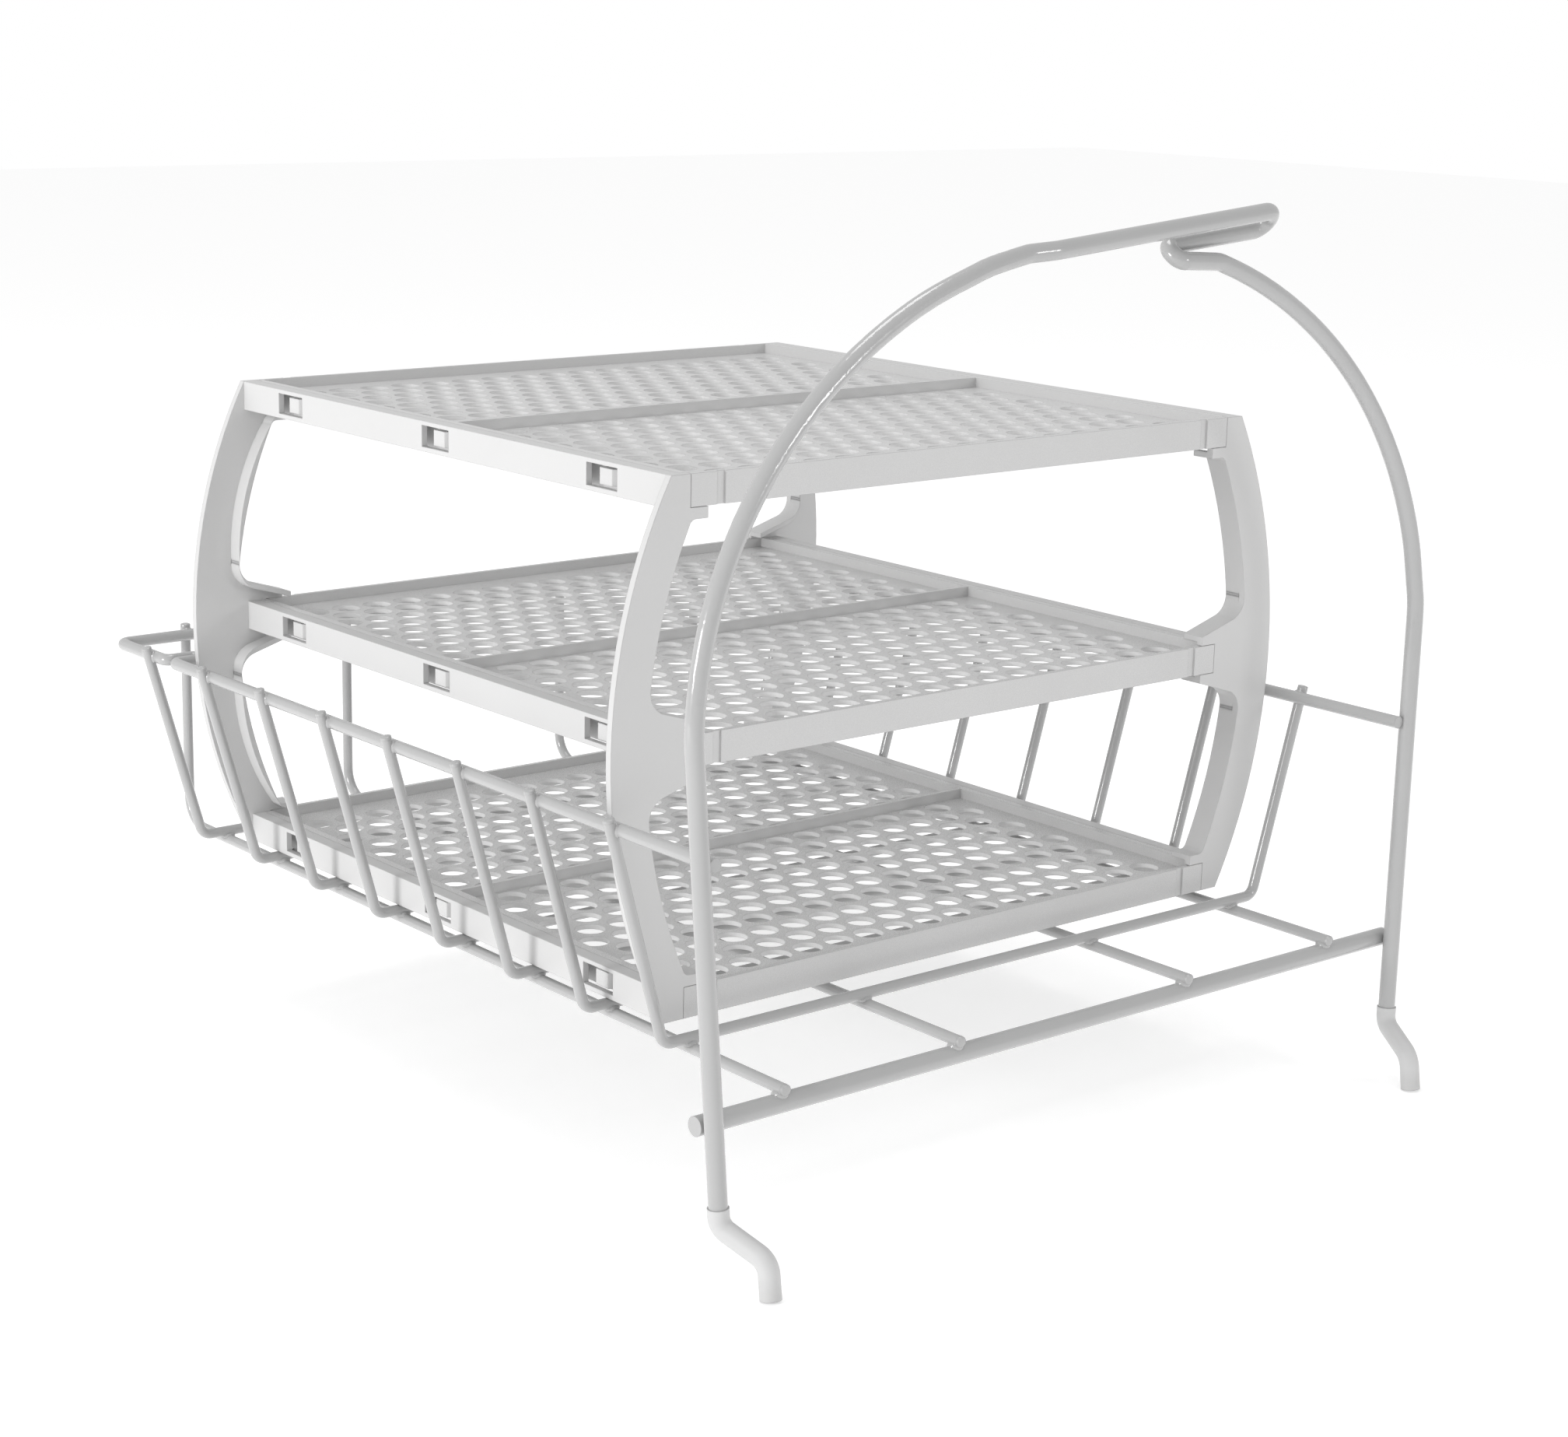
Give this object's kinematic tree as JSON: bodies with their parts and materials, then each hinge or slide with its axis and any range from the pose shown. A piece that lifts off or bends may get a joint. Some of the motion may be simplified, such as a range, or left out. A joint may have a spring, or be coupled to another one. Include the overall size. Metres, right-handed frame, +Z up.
{
  "type": "tiered shoe rack",
  "caption": "Stacked rack of perforated trays between bowed side frames, standing in a hooped wire carrying basket that lifts away from it.",
  "frame": {"origin": "midway between the two foot tips, at the level of the tips", "axes": "+X to the right across the hoop, +Y from the hoop into the depth of the basket, +Z up"},
  "size_m": [0.3865, 0.4654, 0.3684],
  "materials": {
    "coated_wire": "satin",
    "soft_sleeve": "satin",
    "white_plastic": "satin"
  },
  "bodies": {
    "basket": {"hoop": "coated_wire", "low_bar": "coated_wire", "top_rail": "coated_wire", "rib_1": "coated_wire", "rib_2": "coated_wire", "rib_3": "coated_wire", "rib_4": "coated_wire", "rib_5": "coated_wire", "rib_6": "coated_wire", "rib_7": "coated_wire", "rib_8": "coated_wire", "base_wire_1": "coated_wire", "base_wire_2": "coated_wire", "base_wire_3": "coated_wire", "base_wire_4": "coated_wire", "foot_sleeve_left": "soft_sleeve", "foot_sleeve_right": "soft_sleeve"},
    "rack": {"side_frame_left": "white_plastic", "side_frame_right": "white_plastic", "tray_top": "white_plastic", "tray_middle": "white_plastic", "tray_bottom": "white_plastic"}
  },
  "joints": [
    {"name": "rack_lift", "type": "slide", "parent": "basket", "child": "rack", "axis": [0, 0, 1], "range_m": [0, 0.1]}
  ]
}
